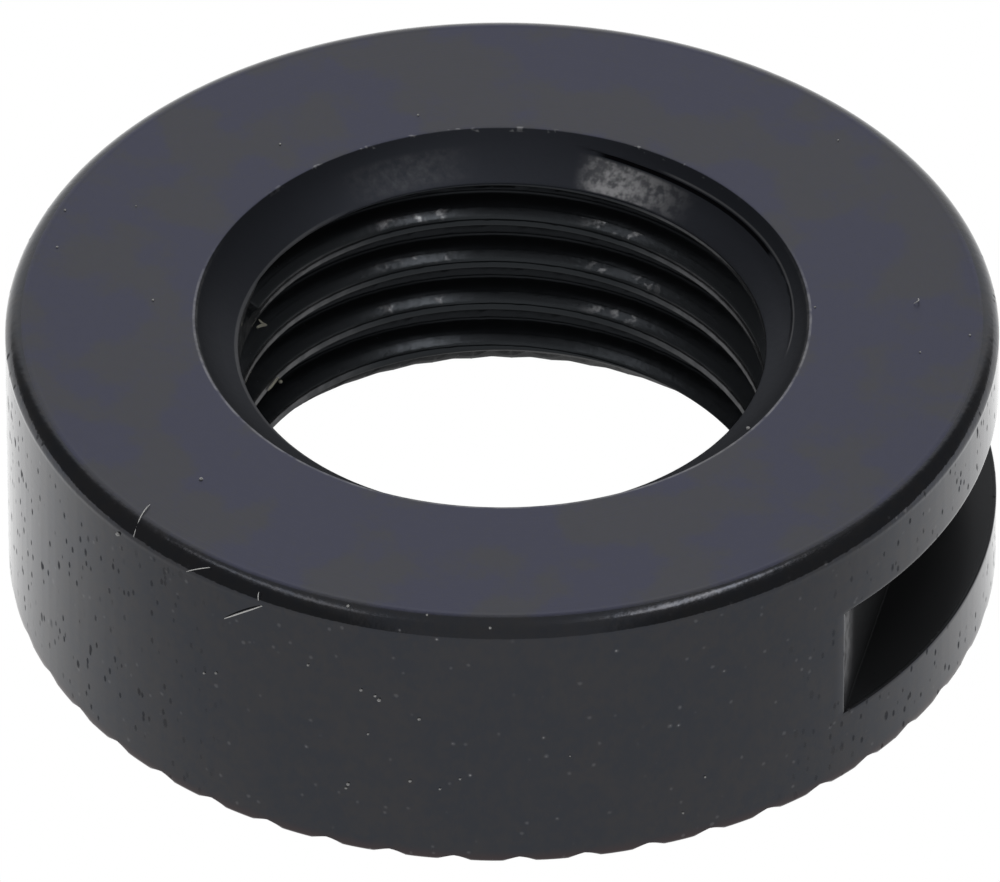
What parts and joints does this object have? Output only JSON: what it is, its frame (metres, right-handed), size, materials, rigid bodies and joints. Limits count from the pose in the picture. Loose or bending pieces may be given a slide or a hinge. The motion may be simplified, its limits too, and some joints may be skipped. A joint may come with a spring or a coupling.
{
  "type": "round lock nut",
  "caption": "Low round lock nut with a right-hand internal thread, a countersunk mouth, a flat-bottomed spanner slot in the side and a radially serrated seat.",
  "frame": {"origin": "on the thread axis, in the plane of the serrated seat", "axes": "+Z along the thread axis from the seat to the countersunk face, +X through the middle of the spanner slot"},
  "size_m": [0.0274, 0.0274, 0.0083],
  "materials": {
    "blackened_steel": "black oxide on turned steel, matt on the faces and glossier in the bore"
  },
  "bodies": {
    "root": {"lock_nut": "blackened_steel"}
  },
  "joints": []
}
